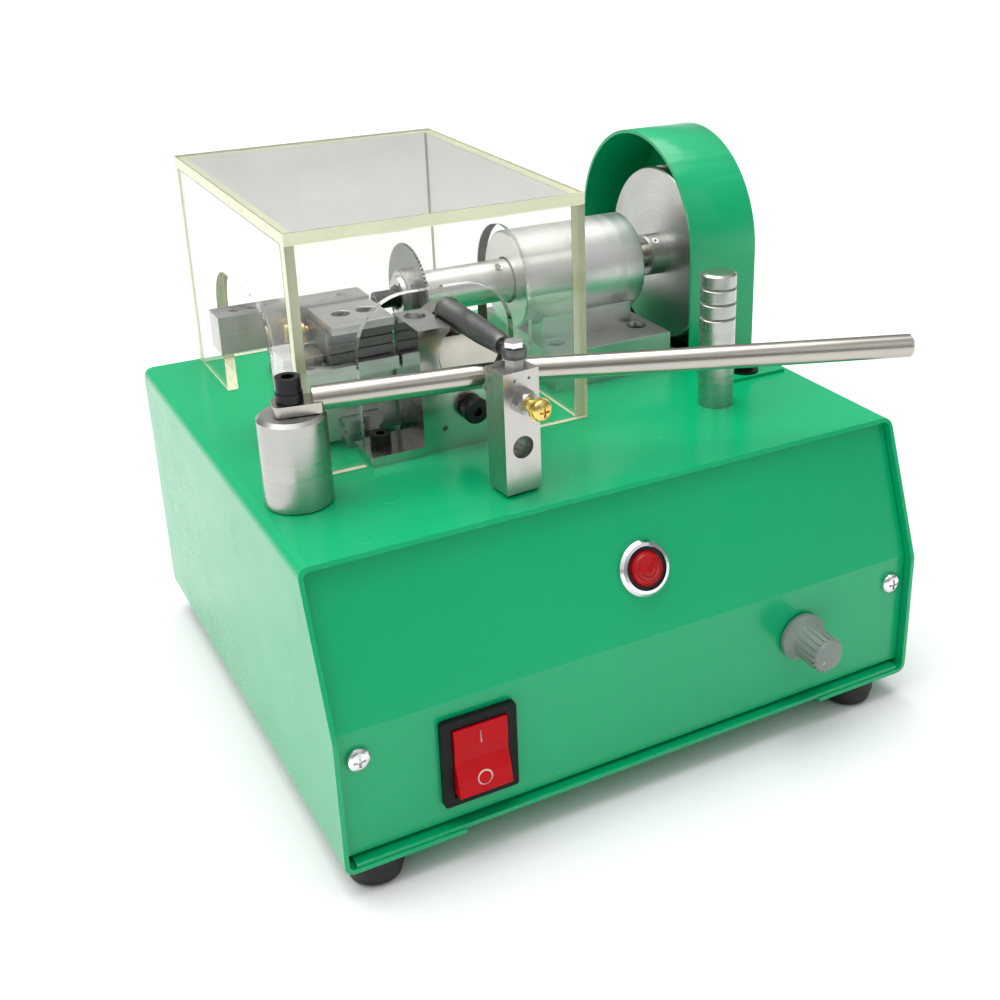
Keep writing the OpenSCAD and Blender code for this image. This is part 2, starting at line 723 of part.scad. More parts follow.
module blade_flange() {
    color(alloy) datum() difference() {
        translate([blade_x - blade_t / 2, spin_y, spin_z]) rotate([0, -90, 0]) rotate_extrude()
            polygon([[shaft_d / 2, 0], [10.4, 0], [10.4, 2.2], [9.6, 3], [8.2, 3], [7.6, flange_t],
                [shaft_d / 2, flange_t]]);
        for (a = [0, 180]) translate([blade_x - flange_t - 2, spin_y, spin_z]) rotate([a + 30, 0, 0])
            translate([0, 0, shaft_d / 4 + 4.1]) rotate([0, 90, 0]) cylinder(h = 2.4, d = 1.6);
    }
}

module blade_bolt() {
    color(black) datum() translate([blade_x - blade_t / 2 - flange_t, spin_y, spin_z]) rotate([0, -90, 0]) {
        washer(9, m4, 1);
        translate([0, 0, 1]) cap_screw(m4 - 0.2, 7, bolt_l - 1, 12, 3);
    }
}

module disc_pulley() {
    color(alloy) datum() difference() {
        translate([groove_x, spin_y, spin_z]) {
            grooved(disc_d / 2, belt_r - 0.3, disc_t / 2, shaft_d);
            rotate([0, 90, 0]) rotate_extrude()
                polygon([[shaft_d / 2, -disc_t / 2 - 6.5], [hub_d / 2 - 0.6, -disc_t / 2 - 6.5],
                    [hub_d / 2, -disc_t / 2 - 5.9], [hub_d / 2, eps - disc_t / 2],
                    [shaft_d / 2, eps - disc_t / 2]]);
        }
        translate([disc_x - 3.4, spin_y, spin_z]) rotate([35, 0, 0]) cylinder(h = 20, d = 3);
    }
}

// outline of the arch in (y, z)
module arch_area(r) {
    translate([guard_y, guard_cz]) circle(r = r, $fn = 96);
    translate([guard_y - r, 0]) square([2 * r, guard_cz]);
}
module belt_guard() {
    color(paint) datum() difference() {
        union() {
            from_x(guard_x) linear_extrude(guard_w) difference() {
                arch_area(guard_r);
                arch_area(guard_r - guard_t);
            }
            from_x(guard_x + guard_w - guard_t) linear_extrude(guard_t) arch_area(guard_r - guard_t / 2);
            box([guard_x, guard_x + guard_w], [guard_y - guard_r - guard_foot, guard_y - guard_r + guard_t],
                [0, guard_t]);
            box([guard_x, guard_x + guard_w], [guard_y + guard_r - guard_t, guard_y + guard_r + guard_foot],
                [0, guard_t]);
        }
        for (y = guard_bolt_y) {
            cyl_z(guard_bolt_x, y, -1, guard_t + 1, 4.4);
            box([guard_bolt_x - 3, guard_bolt_x + 3], [y - 2.2, y + 2.2], [-1, guard_t + 1]);
            for (x = [-3, 3]) cyl_z(guard_bolt_x + x, y, -1, guard_t + 1, 4.4);
        }
    }
}

module guard_bolts() {
    color(black) datum() for (y = guard_bolt_y) translate([guard_bolt_x, y, guard_t]) {
        washer(11, m4, 1);
        translate([0, 0, 1]) through_bolt(guard_t + 1, 2.8);
    }
}

module lever_post() {
    color(alloy) datum() translate([post[0], post[1], 0]) difference() {
        rotate_extrude() polygon([[0, 0], [post_d / 2 - 0.5, 0], [post_d / 2, 0.5], [post_d / 2, post_h - 1.2],
            [post_d / 2 - 1.2, post_h], [0, post_h]]);
        translate([0, 0, post_h - 16]) cylinder(h = 20, d = pivot_d);
        translate([0, 0, -1]) cylinder(h = 11, d = 5);
    }
}

module grip_post() {
    color(alloy) datum() translate([grip[0], grip[1], 0]) difference() {
        rotate_extrude() polygon(concat([[0, 0], [grip_d / 2, 0]],
            [for (i = [3:-1:1], p = [[0, -0.6], [-0.7, 0], [0, 0.6]])
                [grip_d / 2 + p[0], grip_h - 5.5 * i + p[1]]],
            [[grip_d / 2, grip_h - 0.8], [grip_d / 2 - 0.8, grip_h], [0, grip_h]]));
        translate([0, 0, -1]) cylinder(h = 13, d = 5);
    }
}

module post_bolts() {
    color(steel) datum() for (p = [post, grip]) translate([p[0], p[1], -sheet]) mirror([0, 0, 1]) {
        washer(10, 5.1, 1);
        translate([0, 0, 1]) cap_screw(4.9, 8.4, 4, 10, 4);
    }
}

module pivot_screw() {
    color(black) datum() translate([post[0], post[1], 0]) {
        translate([0, 0, post_h]) washer(10.2, shoulder_d - 0.1, 0.25);
        cyl_z(0, 0, post_h, eye_top + 0.25, shoulder_d);
        translate([0, 0, eye_top + 0.2]) washer(8.4, m4, 3);
        translate([0, 0, eye_top + 3.2]) cap_screw(pivot_d, 7.8, 4.9, 19, 4);
    }
}

// flattened end with its hole, then the rod, its bend and the handle
module lever_rod() {
    inner = norm(bend - post);
    color(steel) datum() translate([0, 0, rod_z]) difference() {
        union() {
            translate(post) rotate([0, 0, rod_a]) {
                translate([eye_l / 2 - 5.5, 0, eye_low - rod_z]) linear_extrude(eye_t)
                    polygon(round_rect(eye_l, eye_w, 2));
                difference() {
                    translate([neck, 0, 0]) rotate([0, 90, 0]) cylinder(h = inner - neck, d = rod_d);
                    translate([neck - 1, -rod_d, eye_low - rod_z - rod_d])
                        cube([post_d / 2 + 2 - neck, 2 * rod_d, rod_d]);
                }
            }
            translate(bend) sphere(d = rod_d);
            translate(bend) rotate([0, 0, grip_a]) rotate([0, 90, 0]) rotate_extrude()
                polygon([[0, 0], [rod_d / 2, 0], [rod_d / 2, grip_l - 0.8],
                    [rod_d / 2 - 0.8, grip_l], [0, grip_l]]);
        }
        translate(post) translate([0, 0, -2 * rod_d]) cylinder(h = 4 * rod_d, d = shoulder_d + 0.1);
        block_frame() cyl_y(0, 0, 40, screw_z - rod_z, m4);
    }
}

module block_frame() {
    translate([block[0], block[1], 0]) rotate([0, 0, block_a]) children();
}
module rod_block() {
    color(alloy) datum() difference() {
        block_frame() difference() {
            translate([-block_w / 2, -block_l / 2, block_z[0]])
                cube([block_w, block_l, block_z[1] - block_z[0]]);
            cyl_y(0, -20, 20, screw_z, m4 + 0.1);
            cyl_y(0, -20, 20, hole_z, 7.5);
            for (x = [-2.4, 2.8]) cyl_y(x, -20, 0.6 - block_l / 2, rod_z + 5.4, 1.1);
        }
        cyl_z(pin[0], pin[1], block_z[1] - 5.5, block_z[1] + 1, pin_d);
    }
}

nut_h = 3.2;
// where the screw meets the rod, measured along the screw from the block's centre
rod_turn = block_a - rod_a;
rod_gap = ((block[0] - post[0]) * sin(rod_a) - (block[1] - post[1]) * cos(rod_a)) / cos(rod_turn);
rod_half = rod_d / 2 / cos(rod_turn);
head_gap = 10.6;
nut_gap = 1.3;
module adjusting_screw() {
    color(zinc) datum() block_frame() translate([0, -block_l / 2 - head_gap, screw_z]) rotate([90, 0, 0]) {
        pan_screw(m4, 7, 2.6, block_l / 2 + head_gap + rod_gap + rod_half + 1.5);
        translate([0, 0, -0.8]) washer(7.6, m4, 0.8);
    }
}

module lock_nuts() {
    color(steel) datum() block_frame() {
        translate([0, -block_l / 2, screw_z]) rotate([90, 0, 0]) {
            washer(8.4, m4, 0.8);
            translate([0, 0, 0.8]) hex_nut(7, m4, nut_h);
            translate([0, 0, 0.8 + nut_h]) washer(7.4, m4, 1.6);
        }
        translate([0, block_l / 2, screw_z]) rotate([-90, 0, 0]) hex_nut(7, m4, nut_h);
        translate([0, rod_gap - rod_half - nut_h - nut_gap, screw_z]) rotate([-90, 0, 0])
            hex_nut(7, m4, nut_h);
    }
}

link_low = link_z - 1.6;
link_top = link_z + 1.6;
module link_pin() {
    color(steel) datum() translate([pin[0], pin[1], 0]) {
        cyl_z(0, 0, block_z[1] - 5, link_top + 1.8, pin_d);
        translate([0, 0, block_z[1]]) cylinder(h = link_low - block_z[1] - 0.35, d = 6.6, $fn = 6);
        translate([0, 0, link_top + 0.35]) cylinder(h = 1.7, d = 6.4, $fn = 6);
    }
}

link_v = pin - link_far;
link_len = norm(link_v);
link_a = atan2(link_v[1], link_v[0]);
// sleeve with a socket at the ram end and an open-fitting eye at the lever end
module push_link() {
    color([0.16, 0.17, 0.17]) datum() translate([link_far[0], link_far[1], link_z]) rotate([0, 0, link_a])
        difference() {
            union() {
                translate([link_len, 0, link_low - link_z]) cylinder(h = link_top - link_low, d = 7.8);
                translate([link_len - 12, -2, link_low - link_z]) cube([12, 4, link_top - link_low]);
                rotate([0, 90, 0]) rotate_extrude()
                    polygon([[0, -4.6], [4.2, -4.6], [4.6, -4.2], [4.6, -3], [4.1, -2.6], [4.1, 22],
                        [3.4, link_len - 9], [3, link_len - 7], [0, link_len - 7]]);
            }
            translate([0, 0, -8]) cylinder(h = 10.6, d = pin_d + 0.1);
            translate([link_len, 0, -8]) cylinder(h = 16, d = pin_d + 2 * eye_gap);
        }
}

module slide_rail() {
    color(steel) datum() difference() {
        from_y(rail_y[0]) linear_extrude(rail_y[1] - rail_y[0])
            polygon([[rail_x - rail_w / 2, 0], [rail_x + rail_w / 2, 0],
                [rail_x + rail_w / 2, 3.4], [rail_x + rail_w / 2 - 2, 5.2],
                [rail_x + rail_w / 2, 7], [rail_x + rail_w / 2, rail_h],
                [rail_x - rail_w / 2, rail_h], [rail_x - rail_w / 2, 7],
                [rail_x - rail_w / 2 + 2, 5.2], [rail_x - rail_w / 2, 3.4]]);
        for (y = [rail_y[0] + 20, rail_y[1] - 20]) {
            cyl_z(rail_x, y, -1, rail_h + 1, 4.4);
            cyl_z(rail_x, y, rail_h - 4.6, rail_h + 1, 7.6);
        }
    }
}

module carriage() {
    g = fit;
    color(alloy) datum() difference() {
        union() {
            box(car_x, car_y, car_z);
            box([car_x[1] - eps, 82], [ram_y[1], ram_y[1] + 5.5], [8, 29.5]);
        }
        from_y(car_y[0] - 1) linear_extrude(car_y[1] - car_y[0] + 2)
            polygon([[rail_x - rail_w / 2 - g, 0], [rail_x + rail_w / 2 + g, 0],
                [rail_x + rail_w / 2 + g, 3.4], [rail_x + rail_w / 2 - 2 + g, 5.2],
                [rail_x + rail_w / 2 + g, 7], [rail_x + rail_w / 2 + g, rail_h + g],
                [rail_x - rail_w / 2 - g, rail_h + g], [rail_x - rail_w / 2 - g, 7],
                [rail_x - rail_w / 2 + 2 - g, 5.2], [rail_x - rail_w / 2 - g, 3.4]]);
    }
}

module feed_ram() {
    color(steel) datum() {
        difference() {
            translate([ram[0], ram_y[0], ram[1]]) rotate([-90, 0, 0]) rotate_extrude()
                polygon([[0, 0], [ram_d / 2 - 1.2, 0], [ram_d / 2, 1.2],
                    [ram_d / 2, ram_y[1] - ram_y[0]], [0, ram_y[1] - ram_y[0]]]);
            box([ram[0] - 20, ram[0] + 20], [ram_y[0] - 1, ram_flat_y], [ram_flat, ram_flat + 20]);
        }
        cyl_z(link_far[0], link_far[1], ram_flat - 1, link_z + 2.2, pin_d);
    }
}

module ram_block() {
    color(alloy) datum() difference() {
        union() {
            from_y(rb_y[0]) linear_extrude(rb_y[1] - rb_y[0])
                polygon([[rb_x[0], 0], [rb_x[1], 0], [rb_x[1], rb_h[1]],
                    [rb_wall, rb_h[1]], [rb_wall, rb_h[0]], [rb_x[0], rb_h[0]]]);
            box([44, rb_x[0] + eps], [rb_y[0] - 0.6, 71.5], [0, 3.4]);
        }
        cyl_y(ram[0], rb_y[0] - 1, rb_y[1] + 1, ram[1], ram_d + 2 * ram_gap);
        cyl_y(80.4, rb_y[0] - 1, rb_y[0] + 12, 14.1, 5);
        cyl_y(70.5, rb_y[0] - 1, rb_y[0] + 3, 8.3, 2);
        for (p = block_screw_at) cyl_z(p[0], p[1], -1, 50, 4.4);
        cyl_z(block_screw_at[1][0], block_screw_at[1][1], 3.4, 50, 7.4);
    }
}

module block_screws() {
    color(black) datum() for (p = block_screw_at) translate([p[0], p[1], 3.4]) {
        washer(7.2, m4, 0.6);
        translate([0, 0, 0.6]) through_bolt(4, 4);
    }
    color(black) datum() for (y = [rail_y[0] + 20, rail_y[1] - 20])
        translate([rail_x, y, rail_h - 4.6]) through_bolt(rail_h - 4.6, 4);
}

module ram_lock() {
    color(black) datum() translate([80.4, rb_y[0], 14.1]) rotate([90, 0, 0]) difference() {
        union() {
            rotate_extrude() polygon([[0, 0.3], [3.6, 0.3], [4.6, 1.2], [4.6, 4.6], [3.8, 5.6], [0, 5.6]]);
            translate([0, 0, -10]) cylinder(h = 10.4, d = 4.9);
        }
        translate([0, 0, 3.6]) cylinder(h = 4, d = 3 * 1.1547, $fn = 6);
    }
}

// dovetail between the cross rail and the slide block, in (y, z)
module dovetail(gap) {
    polygon([[dove_y - 5 - gap, cross_z[1] - 0.5], [dove_y + 5 + gap, cross_z[1] - 0.5],
        [dove_y + 6.6 + gap, cross_z[1] + 3 + gap], [dove_y - 6.6 - gap, cross_z[1] + 3 + gap]]);
}
module cross_rail() {
    color(alloy) datum() difference() {
        union() {
            box(cross_x, cross_y, cross_z);
            from_x(cross_x[0]) linear_extrude(cross_x[1] - cross_x[0]) dovetail(0);
        }
        for (x = [32.5, 36.5]) translate([x, cross_y[0] + 5 + (x - 32.5) / 2, 0]) {
            cyl_z(0, 0, cross_z[0] - 1, cross_z[1] + 1, 2.2);
            cyl_z(0, 0, cross_z[1] - 1.6, cross_z[1] + 1, 3.4);
        }
    }
}

module slide_block() {
    color([0.36, 0.37, 0.36]) datum() difference() {
        union() {
            box([sb_x[0] + 2.5, sb_x[1]], sb_y, sb_z);
            for (y = [sb_y[0] + 2.5, sb_y[1] - 2.5]) cyl_z(sb_x[0] + 2.5, y, sb_z[0], sb_z[1], 5);
            box([sb_x[0], sb_x[0] + 3], [sb_y[0] + 2.5, sb_y[1] - 2.5], sb_z);
        }
        for (z = [sb_z[0] + 3.1, sb_z[0] + 6.5])
            box([sb_x[0] - 1, sb_x[1] + 1], [sb_y[0] - 1, sb_y[0] + 0.8], [z, z + 1]);
        from_x(sb_x[0] - 1) linear_extrude(sb_x[1] - sb_x[0] + 2) dovetail(fit);
        cyl_x(sb_x[0] - 1, sb_x[0] + 9, lock_y, lock_z, 3);
    }
}

module top_plate() {
    color(alloy) datum() difference() {
        box(tp_x, tp_y, tp_z);
        for (x = tp_hole_x) {
            cyl_z(x, tp_hole_y, tp_z[0] - 1, tp_z[1] + 1, 3.3);
            cyl_z(x, tp_hole_y, tp_z[0] + 0.9, tp_z[1] + 1, 6.4);
        }
    }
}

module plate_screws() {
    color(black) datum() for (x = tp_hole_x) translate([x, tp_hole_y, tp_z[0] + 0.9]) difference() {
        cylinder(h = 1.5, d = 5.6);
        translate([0, 0, 0.5]) cylinder(h = 3, d = 2.3, $fn = 6);
    }
}

module slide_lock() {
    color([0.72, 0.52, 0.25]) datum() translate([sb_x[0], lock_y, lock_z]) rotate([0, -90, 0]) {
        translate([0, 0, -8]) cylinder(h = 8.5, d = 2.9);
        translate([0, 0, 0.3]) cylinder(h = 1.2, d = 4.4);
        translate([0, 0, 1.4]) rotate_extrude()
            polygon([[0, 0], [3.2, 0], [3.6, 0.5], [3.6, 3.6], [3.1, 4.2], [0, 4.2]]);
    }
}

module stop_bar() {
    color(alloy) datum() difference() {
        box(bar_x, bar_y, bar_z);
        for (x = [bar_x[0] + 7, bar_x[0] + 13]) cyl_z(x, bar_y[0] + 6, bar_z[1] - 8, bar_z[1] + 1, 3.4);
        for (x = [bar_x[1] - 8]) cyl_z(x, bar_y[0] + 6, bar_z[1] - 8, bar_z[1] + 1, 3.4);
    }
}

module acrylic_cover() {
    w = cover_w;
    d = cover_d;
    h = cover_h;
    t = cover_t;
    color(clear) datum() translate([cover_x, cover_y, 0]) difference() {
        translate([0, 0, 0.1]) cube([w, d, h - 0.1]);
        translate([t, t, -1]) cube([w - 2 * t, d - 2 * t, h - t + 1]);
        from_y(-1) linear_extrude(t + 2) translate([48, 0]) polygon(arch_pts(55, 57, 18));
        from_x(-1) linear_extrude(t + 2) translate([60, 0]) polygon(arch_pts(64, 50, 16));
        from_x(w - t - 1) linear_extrude(t + 2) translate([spin_y - cover_y, 0])
            polygon(arch_pts(housing_d + 5, spin_z + housing_d / 2 + 2.5, housing_d / 2 + 2));
    }
}

cabinet_cover();
front_panel();
rear_panel();
base_plate();
rubber_feet();
foot_screws();
panel_screws();
switch_frame();
switch_rocker();
lamp_bezel();
lamp_lens();
speed_control();
knob_shaft();
speed_knob();
mains_inlet();
fuse_holder();
control_board();
board_posts();
motor_body();
motor_bracket();
motor_bolts();
motor_shaft();
motor_pulley();
drive_belt();
spindle_base();
base_bolts();
spindle_housing();
bearings();
spindle_shaft();
arbor_sleeve();
set_screws();
saw_blade();
blade_flange();
blade_bolt();
disc_pulley();
belt_guard();
guard_bolts();
lever_post();
grip_post();
post_bolts();
pivot_screw();
lever_rod();
rod_block();
adjusting_screw();
lock_nuts();
link_pin();
push_link();
slide_rail();
carriage();
feed_ram();
ram_block();
block_screws();
ram_lock();
cross_rail();
slide_block();
top_plate();
plate_screws();
slide_lock();
stop_bar();
acrylic_cover();
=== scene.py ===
import math

import bmesh
import bpy
from mathutils import Matrix, Vector


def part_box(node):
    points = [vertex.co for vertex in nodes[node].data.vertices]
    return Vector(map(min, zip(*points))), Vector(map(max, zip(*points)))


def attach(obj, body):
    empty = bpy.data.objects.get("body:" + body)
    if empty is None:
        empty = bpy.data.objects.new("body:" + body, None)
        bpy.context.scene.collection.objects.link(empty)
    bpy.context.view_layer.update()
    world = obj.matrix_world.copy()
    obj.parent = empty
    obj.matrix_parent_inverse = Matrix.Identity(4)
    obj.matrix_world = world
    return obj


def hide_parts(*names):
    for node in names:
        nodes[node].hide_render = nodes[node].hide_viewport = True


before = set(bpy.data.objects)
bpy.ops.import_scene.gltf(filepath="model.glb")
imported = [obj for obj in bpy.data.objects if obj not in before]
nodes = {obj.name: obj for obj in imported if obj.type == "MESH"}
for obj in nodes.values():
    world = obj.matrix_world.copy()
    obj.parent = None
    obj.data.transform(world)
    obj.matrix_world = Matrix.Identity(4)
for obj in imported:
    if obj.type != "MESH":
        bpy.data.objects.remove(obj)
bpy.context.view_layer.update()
mm = 0.001
print("frame loaded:", len(nodes), "parts")


def mid(node):
    low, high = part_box(node)
    return (low + high) / 2


def scaled(colour, factor, lift=0.0):
    # a darker or lighter colour, never above full
    return tuple(min(1, value * factor + lift) for value in colour)


def startMaterial(name, **sockets):
    material = bpy.data.materials.new(name)
    material.use_nodes = True
    tree = material.node_tree
    shader = tree.nodes["Principled BSDF"]
    for key, value in sockets.items():
        shader.inputs[key.replace("_", " ")].default_value = value
    return material, tree, shader


def addNode(tree, kind, inputs=None, **settings):
    node = tree.nodes.new("ShaderNode" + kind)
    for key, value in settings.items():
        setattr(node, key, value)
    for key, value in (inputs or {}).items():
        if isinstance(value, bpy.types.NodeSocket):
            tree.links.new(value, node.inputs[key])
        else:
            node.inputs[key].default_value = value
    return node


def objectPlace(tree, scale=(1, 1, 1), centre=(0, 0, 0)):
    coords = addNode(tree, "TexCoord").outputs["Object"]
    moved = addNode(tree, "VectorMath", {0: coords, 1: centre}, operation="SUBTRACT").outputs[0]
    return addNode(tree, "VectorMath", {0: moved, 1: scale}, operation="MULTIPLY").outputs[0]


def noise(tree, place, scale, detail=3.0, rough=0.55):
    return addNode(tree, "TexNoise", {"Vector": place, "Scale": scale, "Detail": detail,
                                      "Roughness": rough}).outputs["Fac"]


def ramp(tree, source, stops):
    node = addNode(tree, "ValToRGB", {"Fac": source})
    line = node.color_ramp.elements
    while len(line) < len(stops):
        line.new(0.5)
    for element, (place, colour) in zip(line, stops):
        element.position = place
        element.color = colour if len(colour) == 4 else (*colour, 1)
    return node.outputs["Color"]


def spread(tree, source, low, high, toLow=0.0, toHigh=1.0):
    return addNode(tree, "MapRange", {"Value": source, "From Min": low, "From Max": high,
                                      "To Min": toLow, "To Max": toHigh}).outputs["Result"]


def blendColour(tree, share, first, second, how="MIX"):
    node = addNode(tree, "Mix", data_type="RGBA", blend_type=how)
    for place, value in ((0, share), (6, first), (7, second)):
        if isinstance(value, bpy.types.NodeSocket):
            tree.links.new(value, node.inputs[place])
        else:
            node.inputs[place].default_value = value if place == 0 or len(value) == 4 else (*value, 1)
    return node.outputs[2]


def maths(tree, how, first, second=0.0):
    return addNode(tree, "Math", {0: first, 1: second}, operation=how).outputs[0]


def edgeMask(tree, radius):
    # 1 on sharp edges, 0 on flats
    soft = addNode(tree, "Bevel", {"Radius": radius}, samples=4).outputs["Normal"]
    sharp = addNode(tree, "NewGeometry").outputs["Normal"]
    along = addNode(tree, "VectorMath", {0: soft, 1: sharp}, operation="DOT_PRODUCT").outputs["Value"]
    return spread(tree, along, 0.995, 0.90)


def bump(tree, height, strength, distance, under=None):
    inputs = {"Height": height, "Strength": strength, "Distance": distance}
    if under is not None:
        inputs["Normal"] = under
    return addNode(tree, "Bump", inputs).outputs["Normal"]


def colour255(red, green, blue):
    # a paint chart's numbers as linear colour
    def one(value):
        value /= 255
        return value / 12.92 if value <= 0.04045 else ((value + 0.055) / 1.055) ** 2.4
    return one(red), one(green), one(blue)


paintLook = {
    # the last four say how fine each pattern is
    "colour": (0.0, 0.42, 0.162), "deep": (0.0, 0.37, 0.142), "worn": (0.10, 0.52, 0.30), "roughness": 0.24,
    "clouds": 9, "chips": 220, "grain": 60, "peel": 260,
}


def greenEnamel(name, look):
    material, tree, shader = startMaterial(name, Coat_Weight=0.22, Coat_Roughness=0.10,
                                           Specular_IOR_Level=0.32)
    place = objectPlace(tree)
    cloud = noise(tree, place, look["clouds"], 2)
    base = blendColour(tree, spread(tree, cloud, 0.3, 0.75, 0, 0.6), look["colour"], look["deep"])
    chips = spread(tree, noise(tree, place, look["chips"], 3), 0.5, 0.62, 0, 0.6)
    worn = maths(tree, "MULTIPLY", edgeMask(tree, 0.0005), chips)
    base = blendColour(tree, worn, base, look["worn"])
    tree.links.new(base, shader.inputs["Base Color"])
    grain = noise(tree, place, look["grain"], 4)
    rough = spread(tree, grain, 0.3, 0.75, look["roughness"] - 0.04, look["roughness"] + 0.05)
    tree.links.new(rough, shader.inputs["Roughness"])
    peel = noise(tree, place, look["peel"], 2)
    tree.links.new(bump(tree, peel, 0.07, 0.0004), shader.inputs["Normal"])
    return material


def brushedMetal(name, colour, along, roughness=0.32, strength=0.25, scratch=1.0, dirt=0.25):
    # along is how fine the grain is on each axis: a small number gives long streaks that way
    material, tree, shader = startMaterial(name, Metallic=1.0)
    place = objectPlace(tree)
    streaks = objectPlace(tree, along)
    grain = noise(tree, streaks, 1, 4, 0.65)
    coarse = noise(tree, streaks, 0.22, 3)
    smudge = noise(tree, place, 45, 4)
    base = blendColour(tree, spread(tree, grain, 0.3, 0.7, 0, 0.45 * scratch), colour, scaled(colour, 0.72))
    base = blendColour(tree, spread(tree, smudge, 0.5, 0.75, 0, dirt), base, scaled(colour, 0.55))
    worn = maths(tree, "MULTIPLY", edgeMask(tree, 0.0004), 0.6)
    base = blendColour(tree, worn, base, scaled(colour, 1.25))
    tree.links.new(base, shader.inputs["Base Color"])
    rough = maths(tree, "ADD", spread(tree, coarse, 0.3, 0.7, roughness - 0.06, roughness + 0.06),
                  spread(tree, smudge, 0.45, 0.8, 0, 0.14))
    tree.links.new(rough, shader.inputs["Roughness"])
    tree.links.new(bump(tree, grain, strength, 0.0002), shader.inputs["Normal"])
    return material


def turnedMetal(name, colour, centre, roughness, rings, strength, dirt=0.2):
    # rings about an axis along X
    material, tree, shader = startMaterial(name, Metallic=1.0)
    place = objectPlace(tree, (0, 1, 1), centre)
    radius = addNode(tree, "VectorMath", {0: place}, operation="LENGTH").outputs["Value"]
    wobble = noise(tree, objectPlace(tree), 60, 2)
    radius = maths(tree, "ADD", maths(tree, "MULTIPLY", radius, rings), maths(tree, "MULTIPLY", wobble, 0.5))
    ring = addNode(tree, "TexNoise", {"W": radius, "Scale": 1.0, "Detail": 3.0},
                   noise_dimensions="1D").outputs["Fac"]
    smudge = noise(tree, objectPlace(tree), 50, 4)
    base = blendColour(tree, spread(tree, ring, 0.3, 0.7, 0, 0.5), colour, scaled(colour, 0.75))
    base = blendColour(tree, spread(tree, smudge, 0.5, 0.8, 0, dirt), base, scaled(colour, 0.6))
    tree.links.new(base, shader.inputs["Base Color"])
    rough = spread(tree, smudge, 0.3, 0.8, roughness - 0.04, roughness + 0.1)
    tree.links.new(rough, shader.inputs["Roughness"])
    tree.links.new(bump(tree, ring, strength, 0.00015), shader.inputs["Normal"])
    return material


def plainPlastic(name, colour, roughness, grain, strength, specular=0.4):
    material, tree, shader = startMaterial(name, Specular_IOR_Level=specular)
    place = objectPlace(tree)
    cloud = noise(tree, place, 120, 3)
    base = blendColour(tree, spread(tree, cloud, 0.35, 0.7, 0, 0.3), colour, scaled(colour, 0.7))
    worn = maths(tree, "MULTIPLY", edgeMask(tree, 0.0003), 0.25)
    base = blendColour(tree, worn, base, scaled(colour, 1.5, 0.02))
    tree.links.new(base, shader.inputs["Base Color"])
    rough = spread(tree, cloud, 0.3, 0.7, roughness - 0.06, roughness + 0.08)
    tree.links.new(rough, shader.inputs["Roughness"])
    tree.links.new(bump(tree, noise(tree, place, grain, 2), strength, 0.0001), shader.inputs["Normal"])
    return material


spindleAxis = mid("spindle_housing")
enamel = greenEnamel("green enamel", paintLook)

# turned metals: colour, axis, roughness, rings per metre, depth
turnedAlloy = turnedMetal("turned alloy", (0.58, 0.58, 0.55), spindleAxis, 0.34, 1400, 0.12)
bladeSteel = turnedMetal("blade steel", (0.27, 0.28, 0.27), spindleAxis, 0.36, 2200, 0.15)

# brushed metals: colour, grain on each axis, roughness, depth, scratches, dirt
shellAlloy = brushedMetal("satin alloy tube", (0.74, 0.74, 0.72), (1500, 30, 30), 0.36, 0.05, 0.6, 0.15)
milledAlloy = brushedMetal("milled alloy", (0.60, 0.60, 0.585), (60, 900, 900), 0.33, 0.25)
blockAlloy = brushedMetal("brushed alloy block", (0.53, 0.52, 0.49), (1100, 1100, 40), 0.30, 0.004, 0.25, 0.1)
postAlloy = brushedMetal("turned alloy post", (0.47, 0.475, 0.45), (12, 12, 2600), 0.27, 0.004, 0.3, 0.08)
polishedSteel = brushedMetal("polished steel", (0.50, 0.47, 0.42), (90, 90, 90), 0.17, 0.05, 0.4, 0.15)
mirrorAlloy = brushedMetal("fine milled alloy", (0.60, 0.60, 0.57), (60, 900, 900), 0.17, 0.006, 0.4, 0.12)
greySteel = brushedMetal("ground steel", (0.50, 0.50, 0.49), (60, 1200, 1200), 0.30, 0.2)
darkSteel = brushedMetal("dark satin steel", (0.17, 0.175, 0.17), (60, 900, 900), 0.40, 0.2)
blackOxide = brushedMetal("black oxide", (0.035, 0.035, 0.038), (400, 400, 400), 0.35, 0.15, 0.8, 0.2)
yellowZinc = brushedMetal("yellow zinc", (0.80, 0.62, 0.20), (500, 500, 500), 0.22, 0.1, 0.6, 0.35)
turnedBrass = brushedMetal("turned brass", (0.62, 0.42, 0.18), (1600, 60, 60), 0.26, 0.2)
chromePlate = brushedMetal("chrome plate", (0.78, 0.78, 0.80), (200, 200, 200), 0.08, 0.03, 0.3, 0.1)

# plastics: colour, roughness, grain, depth, shine
blackRubber = plainPlastic("black rubber", (0.012, 0.012, 0.013), 0.55, 1200, 0.3)
blackPlastic = plainPlastic("black plastic", (0.008, 0.009, 0.009), 0.4, 2200, 0.15, 0.15)
greyPlastic = plainPlastic("grey plastic", colour255(128, 140, 133), 0.38, 1800, 0.12)
redPlastic = plainPlastic("red plastic", (0.54, 0.004, 0.008), 0.2, 400, 0.02, 0.12)
boardGreen = plainPlastic("board lacquer", (0.02, 0.14, 0.05), 0.3, 800, 0.2)
markWhite = plainPlastic("mark white", (0.75, 0.62, 0.60), 0.4, 800, 0.05)


